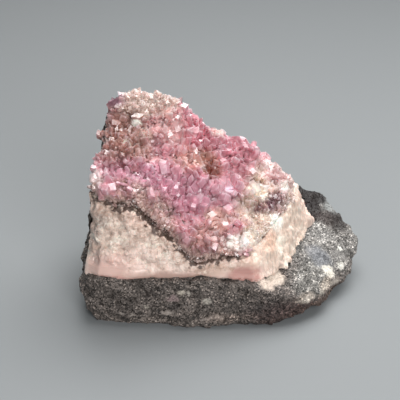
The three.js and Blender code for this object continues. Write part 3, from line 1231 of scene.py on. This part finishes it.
DRUSE_ZONES = (
    Zone((0.30, 0.74, 0.93), (11.0, 9.0, 3.4), "c7b0a4", 0.95, 0.25, 0.9),
    Zone((0.11, 0.74, 0.94), (2.2, 3.0, 2.0), "82596a", 0.90, 0.35, 1.8),
    Zone((0.15, 0.50, 0.76), (7.4, 9.5, 6.0), "9d7668", 0.90, 0.35, 1.6),
    Zone((0.22, 0.62, 0.82), (1.5, 1.5, 1.5), "fbf5ec", 1.00, 0.25, 2.2),
    Zone((0.17, 0.45, 0.73), (0.9, 0.9, 1.1), "e6dccb", 0.95, 0.25, 1.3),
    Zone((0.40, 0.62, 0.80), (5.5, 5.5, 5.0), "d9aba6", 0.80, 0.40, 1.8),
    Zone((0.52, 0.74, 0.66), (6.0, 6.0, 5.0), "c57782", 0.85, 0.40, 2.2),
    Zone((0.70, 0.76, 0.52), (6.5, 6.0, 5.0), "c27f8a", 0.85, 0.40, 2.1),
    Zone((0.55, 0.58, 0.52), (3.4, 4.0, 3.0), "bd8471", 0.90, 0.45, 1.8),
    Zone((0.58, 0.55, 0.46), (2.8, 2.8, 2.6), "96574b", 0.90, 0.45, 1.5),
    Zone((0.45, 0.52, 0.56), (4.2, 4.0, 3.0), "ddac9d", 0.70, 0.50, 1.8),
    Zone((0.24, 0.27, 0.58), (10.0, 5.0, 4.0), "db9fb2", 0.80, 0.45, 2.2),
    Zone((0.46, 0.30, 0.42), (10.0, 6.0, 5.0), "cb8e9f", 0.85, 0.45, 2.4),
    Zone((0.66, 0.42, 0.34), (4.5, 5.0, 4.0), "e3b0bc", 0.80, 0.45, 2.5),
    Zone((0.60, 0.27, 0.22), (4.0, 3.6, 3.0), "e6bcb0", 0.85, 0.45, 2.0),
    Zone((0.55, 0.12, 0.17), (5.5, 4.0, 3.2), "b3897f", 0.80, 0.50, 1.8),
    Zone((0.02, 0.22, 0.58), (1.8, 3.0, 2.6), "f0d6d5", 0.90, 0.45, 2.0),
    Zone((0.24, 0.41, 0.69), (2.8, 2.8, 2.4), "b08a80", 0.75, 0.50, 1.8),
    Zone((0.25, 0.54, 0.755), (2.2, 1.8, 2.0), "e6c4ba", 0.80, 0.50),
    Zone((0.31, 0.40, 0.64), (1.8, 1.8, 1.4), "a3766f", 0.60, 0.60),
    Zone((0.16, 0.29, 0.64), (1.4, 1.4, 1.1), "96575a", 0.85, 0.45, 1.6),
    Zone((0.21, 0.31, 0.63), (1.1, 1.2, 1.0), "a2686a", 0.80, 0.45, 1.6),
    Zone((0.27, 0.35, 0.62), (1.0, 1.0, 1.0), "f0c6d4", 0.90, 0.30, 2.0),
    Zone((0.67, 0.46, 0.35), (1.2, 1.2, 1.2), "f5e0ea", 0.95, 0.30, 2.4),
    Zone((0.21, 0.22, 0.56), (2.0, 2.4, 2.0), "e2a9b9", 0.80, 0.50, 1.8),
    Zone((0.90, 0.62, 0.28), (8.5, 10.0, 6.0), "d1bcae", 0.90, 0.35, 1.5),
    Zone((0.77, 0.40, 0.24), (4.5, 5.5, 3.6), "d2beac", 0.85, 0.40, 1.9),
    Zone((0.81, 0.54, 0.28), (2.2, 2.4, 1.8), "d8c3a6", 0.80, 0.50, 1.8),
    Zone((0.94, 0.64, 0.28), (1.6, 2.4, 1.6), "e0c6c2", 0.80, 0.50, 1.5),
    Zone((0.95, 0.53, 0.20), (2.0, 3.0, 1.5), "96817a", 0.85, 0.50, 1.2),
    Zone((0.82, 0.40, 0.23), (2.2, 2.4, 1.3), "7d5154", 0.90, 0.60, 1.4),
    Zone((0.87, 0.47, 0.235), (2.8, 2.8, 1.8), "57363e", 0.95, 0.55, 1.5),
    Zone((0.91, 0.57, 0.24), (2.0, 2.4, 1.3), "7f575c", 0.85, 0.60, 1.4),
    Zone((0.865, 0.40, 0.19), (2.4, 2.6, 1.4), "6f5058", 0.75, 0.60),
    Zone((0.91, 0.72, 0.33), (3.4, 3.0, 2.6), "d9adae", 0.75, 0.55, 1.6),
    Zone((0.88, 0.80, 0.38), (1.2, 1.6, 1.4), "f4efea", 0.90, 0.40, 1.9),
    Zone((0.95, 0.66, 0.28), (1.2, 1.6, 1.4), "ece4dc", 0.85, 0.40, 1.6),
    Zone((0.82, 0.60, 0.36), (1.6, 2.0, 1.6), "c6a78b", 0.80, 0.50, 1.5),
    Zone((0.86, 0.30, 0.14), (7.0, 5.0, 3.4), "d9c2b2", 1.0, 0.30, 0.6),
    Zone((0.77, 0.18, 0.13), (3.4, 4.0, 2.4), "ecd9c9", 0.95, 0.35, 1.2),
    Zone((0.70, 0.11, 0.13), (2.8, 2.6, 2.2), "faf5f0", 1.0, 0.30, 1.9),
    # Painted highlight: the near-white colour of this spot low on the right.
    Zone((0.90, 0.39, 0.13), (1.8, 2.2, 1.6), "fffdf4", 0.95, 0.30, 1.4),
    Zone((0.74, 0.30, 0.21), (2.6, 2.6, 1.8), "dcc3b4", 0.85, 0.40, 1.2),
    Zone((0.62, 0.84, 0.66), (2.2, 3.0, 2.0), "e0c9c0", 0.85, 0.35, 1.1),
    Zone((0.79, 0.49, 0.34), (1.8, 2.0, 1.8), "f3e4d4", 0.95, 0.45, 1.9),
    Zone((0.83, 0.50, 0.28), (1.6, 1.8, 1.2), "efe0cf", 0.90, 0.45, 1.7),
)


@dataclass
class CrystalDruse:
    """The crust of pink crystals over the vein, grown together as one body.

    Attributes:
        voxel_mm: The size of the faces of the crust that the crystals grow from.
        tip_rounds, rounds: How often its tips, and then all of it, are smoothed.
        sunk_mm: How far that crust lies under the tips of the faceted solid.
        ripple_mm, ripple_height_mm: The width and height of the crust's hollows and bosses.
        seam_clear_mm: The least distance from the seam at which crystals grow.
        seam_width_mm: The most that a crystal's width can be right at the seam.
        seam_growth: How much that grows with the distance from the seam.
        steepest: The Z of the crust's normal under which no crystals grow.
        width_mm: The width of the crystals where no zone says otherwise.
        spread: How much widths differ from place to place, either way.
        flattest: The least thickness of a crystal, against its width.
        stretch: The least and the most length of a crystal, against the usual one.
        room: The least distance of two crystals, against their mean width.
        tries: How many places are tried.
        lean: How far the crystals of one place lean together off the crust.
        lean_mm: The width of such a place.
        stray: How far each crystal leans on its own.
        upward: How far crystals lean upward, where there is most room to grow.
        foot: How deep a crystal's foot is in the crust, against its width.
        seed: The seed of the random choices.
        zones: The regions of other colours and crystal sizes; the colour of the near-white spot
            low on the right is a painted highlight.
        finish: Its finish.
    """

    voxel_mm: float = 0.4
    tip_rounds: int = 16
    rounds: int = 2
    sunk_mm: float = 0.5
    ripple_mm: float = 3.0
    ripple_height_mm: float = 1.0
    seam_clear_mm: float = 0.35
    seam_width_mm: float = 0.6
    seam_growth: float = 0.4
    steepest: float = -0.05
    width_mm: float = 2.0
    spread: float = 0.6
    flattest: float = 0.45
    stretch: tuple[float, float] = (0.85, 1.4)
    room: float = 0.42
    tries: int = 42000
    lean: float = 0.45
    lean_mm: float = 4.5
    stray: float = 0.45
    upward: float = 0.25
    foot: float = 0.85
    seed: int = 11
    zones: tuple[Zone, ...] = DRUSE_ZONES
    finish: GlassyCalcite = GlassyCalcite()

    def bed(self) -> bpy.types.Object:
        """Makes the crust that the crystals grow from.

        Returns:
            The crust, smooth on top, a little lower than the faceted solid's tips.
        """
        piece = fine_copy(Mineral.DRUSE, "crystal_druse_grown", self.voxel_mm)
        below = solid_surface(Mineral.CALCITE)

        def flatten(shape: bmesh.types.BMesh) -> None:
            """Smooths the tips away, lowers the top and rounds the rest a little.

            Args:
                shape: The crust.
            """
            clear = self.seam_clear_mm * MM
            top = {vert for vert in shape.verts if below.find_nearest(vert.co)[3] > clear}
            soften(shape, self.tip_rounds, lambda vert: vert in top)
            soften(shape, self.rounds)
            shape.normal_update()
            for vert in top:
                ripple = noise.noise(vert.co / (self.ripple_mm * MM)) * self.ripple_height_mm
                vert.co -= vert.normal * (self.sunk_mm - ripple) * MM

        reshape(piece, flatten)
        return piece

    def width_at(self, point: Vector) -> float:
        """Gives the usual width of the crystals at a point.

        Args:
            point: The point, in metres.

        Returns:
            The width, in metres.
        """
        width = self.width_mm
        for zone in self.zones:
            if zone.crystal:
                width += (zone.crystal - width) * zone.share_at(Mineral.DRUSE, point)
        return width * MM

    def crystals(self, bed: bpy.types.Mesh) -> list[Crystal]:
        """Chooses the crystals, the widest first, so that small ones fill the gaps.

        Args:
            bed: The crust.

        Returns:
            The crystals.
        """
        chance = random.Random(self.seed)
        noise.seed_set(self.seed)  # Until this is set, noise_vector starts from the clock.
        below = solid_surface(Mineral.CALCITE)
        found = []
        for _ in range(self.tries):
            face = bed.polygons[chance.randrange(len(bed.polygons))]
            from_seam = below.find_nearest(face.center)[3]
            if face.normal.z > self.steepest and from_seam > self.seam_clear_mm * MM:
                widest = self.seam_width_mm * MM + self.seam_growth * from_seam
                width = min(self.width_at(face.center), widest)
                width *= 1 + self.spread * chance.uniform(-1, 1)
                found.append((width, Vector(face.center), Vector(face.normal)))
        found.sort(key=lambda each: -each[0])
        return [self.crystal(chance, *each) for each in with_room(found, self.room)]

    def crystal(self, chance: random.Random, width: float, foot: Vector,
                normal: Vector) -> Crystal:
        """Makes up one crystal.

        Args:
            chance: The source of random choices.
            width: Its width.
            foot: The point that it grows from.
            normal: The direction of the crust there.

        Returns:
            The crystal.
        """
        together = noise.noise_vector(foot / (self.lean_mm * MM)) * self.lean
        alone = Vector(chance.uniform(-1, 1) for _ in range(3)) * self.stray
        form = chance.choices(FORMS, weights=[form.share for form in FORMS])[0]
        way = (normal + together + alone + UP * self.upward).normalized()
        return Crystal(
            foot, way, width, chance.uniform(self.flattest, 1), form.habit,
            chance.uniform(0, math.tau), chance.uniform(*self.stretch), chance.uniform(-1, 1),
        )

    def build(self) -> bpy.types.Object:
        """Makes the piece.

        Returns:
            The piece, dressed and riding on the root.
        """
        piece = self.bed()
        mesh = piece.data
        mesh.shade_smooth()
        write_values(mesh, "tone", "FACE", [0.0] * len(mesh.polygons))
        write_values(mesh, "cap", "FACE", [0.0] * len(mesh.polygons))
        crust = surface_of(mesh)
        crystals = self.crystals(mesh)
        forms = {form.habit: form.mesh() for form in FORMS}
        grown = united([self.cluster(group, forms) for group in apart(crystals)])
        piece.data = united([mesh.copy(), grown])
        for used in (mesh, *forms.values()):
            bpy.data.meshes.remove(used)
        write_distance(piece, "rise", crust, RISE_MOST_MM)
        write_distance(piece, "seam", solid_surface(Mineral.CALCITE), SEAM_MOST_MM)
        LOG.info("%d crystals on the druse", len(crystals))
        finish_piece(piece, Mineral.DRUSE, self.finish.material(self.zones))
        return piece

    def cluster(self, crystals: Sequence[Crystal],
                forms: dict[Habit, bpy.types.Mesh]) -> bpy.types.Mesh:
        """Puts crystals that stay clear of each other into one mesh.

        Args:
            crystals: The crystals.
            forms: The form of each habit.

        Returns:
            The mesh, with a tone for each face: half the crystal's own, the rest at random.
        """
        shape = bmesh.new()
        for crystal in crystals:
            copy = forms[crystal.habit].copy()
            copy.transform(crystal.matrix(self.foot))
            tones = [
                0.5 * crystal.tone + noise.noise(crystal.foot / MM * 9 + face.normal * 7)
                for face in copy.polygons
            ]
            write_values(copy, "tone", "FACE", tones)
            shape.from_mesh(copy)
            bpy.data.meshes.remove(copy)
        return mesh_of("cluster", shape)


class Neighbours:
    """Finds what has been put near a point.

    Attributes:
        reach: The distance within which neighbours are found.
        cells: What has been put in each cube of space, with where it is.
    """

    def __init__(self, reach: float) -> None:
        """Starts with nothing in cubes as wide as the reach."""
        self.reach = reach
        self.cells: dict[tuple[int, ...], list] = {}

    def cell(self, point: Vector) -> tuple[int, ...]:
        """Gives the cell that a point is in."""
        return tuple(math.floor(part / self.reach) for part in point)

    def add(self, point: Vector, thing: object) -> None:
        """Puts a thing at a point."""
        self.cells.setdefault(self.cell(point), []).append((point, thing))

    def near(self, point: Vector) -> list[tuple[Vector, object]]:
        """Gives everything that may be within reach of a point.

        Args:
            point: The point.

        Returns:
            The things, each with where it is.
        """
        i, j, k = self.cell(point)
        steps = (-1, 0, 1)
        around = ((i + a, j + b, k + c) for a in steps for b in steps for c in steps)
        return [each for cell in around for each in self.cells.get(cell, ())]


def with_room(found: Sequence[tuple[float, Vector, Vector]],
              room: float) -> list[tuple[float, Vector, Vector]]:
    """Keeps the places that have room between those kept before them.

    Args:
        found: Widths, points and normals, the widest first.
        room: The least distance of two places, against their mean width.

    Returns:
        Those that are kept, in the same order.
    """
    taken = Neighbours(found[0][0] * room)
    kept = []
    for width, point, normal in found:
        near = taken.near(point)
        if all((point - at).length > room * (width + other) / 2 for at, other in near):
            kept.append((width, point, normal))
            taken.add(point, width)
    return kept


def apart(crystals: Sequence[Crystal], reach: float = 1.1) -> list[list[Crystal]]:
    """Sorts crystals into groups whose members don't touch each other.

    Args:
        crystals: The crystals, the widest first.
        reach: How far a crystal reaches from its foot, against its width.

    Returns:
        The groups.
    """
    groups: list[list[Crystal]] = []
    placed = Neighbours(2 * reach * crystals[0].width)
    for crystal in crystals:
        touching = {
            other[1] for at, other in placed.near(crystal.foot)
            if (crystal.foot - at).length < reach * (crystal.width + other[0])
        }
        number = next(each for each in range(len(groups) + 1) if each not in touching)
        if number == len(groups):
            groups.append([])
        groups[number].append(crystal)
        placed.add(crystal.foot, (crystal.width, number))
    return groups


def united(meshes: Sequence[bpy.types.Mesh]) -> bpy.types.Mesh:
    """Joins closed meshes into one closed mesh, two by two.

    Args:
        meshes: The meshes, which are used up.

    Returns:
        Their union.
    """
    waiting = list(meshes)
    while len(waiting) > 1:
        first, second = waiting.pop(0), waiting.pop(0)
        pair = [link_piece(f"joining_{i}", mesh) for i, mesh in enumerate((first, second))]
        join = pair[0].modifiers.new("join", "BOOLEAN")
        join.operation = "UNION"
        join.solver = "MANIFOLD"
        join.object = pair[1]
        waiting.append(result_of(pair[0]))
        for used, mesh in zip(pair, (first, second)):
            bpy.data.objects.remove(used)
            bpy.data.meshes.remove(mesh)
    return waiting[0]


# ---------------------------------------------------------------------------------------------
# Studio


@dataclass
class Studio:
    """A plain pale floor, soft light from above and the camera.

    Attributes:
        card: The colour of the floor.
        air: The colour of the light from all around.
        air_strength: How strong that light is.
        looks_at_mm: The point in the middle of the view.
        elevation: How far above level the camera is, in degrees.
        away_mm: Its distance from that point.
        seen_mm: How wide the view is at that point.
    """

    card: str = "787b7c"
    air: str = "dfe3e6"
    air_strength: float = 0.24
    looks_at_mm: Triple = (-5.18, -1.79, 23.7)
    elevation: float = 30.0
    away_mm: float = 420.0
    seen_mm: float = 97.6

    def floor(self) -> None:
        """Lays the floor, a matt card that mirrors nothing."""
        shape = bmesh.new()
        bmesh.ops.create_grid(shape, x_segments=1, y_segments=1, size=1.5)
        mesh = mesh_of("floor", shape)
        made = Dressing("matt_grey_card")
        mesh.materials.append(made.done({"Base Color": linear(self.card), "Roughness": 0.9}))
        link_piece("floor", mesh)

    def light(self, name: str, at_mm: Triple, aim_mm: Triple, size_mm: float, power: float,
              spread: float = 180.0) -> None:
        """Hangs one square soft light.

        Args:
            name: Its name.
            at_mm: Its place.
            aim_mm: The point that it faces.
            size_mm: The length of its side.
            power: Its power in watts.
            spread: How wide its beam is in degrees, as set by a honeycomb grid over it.
        """
        lamp = bpy.data.lights.new(name, "AREA")
        lamp.shape = "SQUARE"
        lamp.size = size_mm * MM
        lamp.energy = power
        lamp.spread = math.radians(spread)
        holder = bpy.data.objects.new(name, lamp)
        holder.location = Vector(at_mm) * MM
        aim = Vector(aim_mm) * MM - holder.location
        holder.rotation_euler = aim.to_track_quat("-Z", "Y").to_euler()
        bpy.context.scene.collection.objects.link(holder)

    def camera(self) -> None:
        """Sets the camera up."""
        lens = bpy.data.cameras.new("camera")
        lens.lens = lens.sensor_width * self.away_mm / self.seen_mm
        lens.clip_start = 0.01
        holder = bpy.data.objects.new("camera", lens)
        lift = math.radians(self.elevation)
        back = Vector((0, -math.cos(lift), math.sin(lift)))
        holder.location = (Vector(self.looks_at_mm) + back * self.away_mm) * MM
        holder.rotation_euler = back.to_track_quat("Z", "Y").to_euler()
        bpy.context.scene.collection.objects.link(holder)
        bpy.context.scene.camera = holder

    def build(self) -> None:
        """Sets up the floor, the lights, the air and the camera."""
        self.floor()
        self.light("overhead", (90, 130, 380), (10, -150, 0), 460, 1.95, 110)
        self.light("front_fill", (150, -500, 290), (0, 0, 20), 300, 3.1)
        world = bpy.data.worlds.new("studio_air")
        world.use_nodes = True
        background = world.node_tree.nodes["Background"]
        background.inputs["Color"].default_value = linear(self.air)
        background.inputs["Strength"].default_value = self.air_strength
        bpy.context.scene.world = world
        bpy.context.scene.view_settings.view_transform = "Standard"
        self.camera()


# ---------------------------------------------------------------------------------------------


def main() -> None:
    """Builds the specimen and the studio around it."""
    logging.basicConfig(level=logging.INFO, format="%(name)s: %(message)s")
    for mineral in (HostRock(), MassiveCalcite(), CrystalDruse()):
        piece = mineral.build()
        LOG.info("%s is dressed: %d faces", piece.name, len(piece.data.polygons))
    Studio().build()


if __name__ == "__main__":
    main()
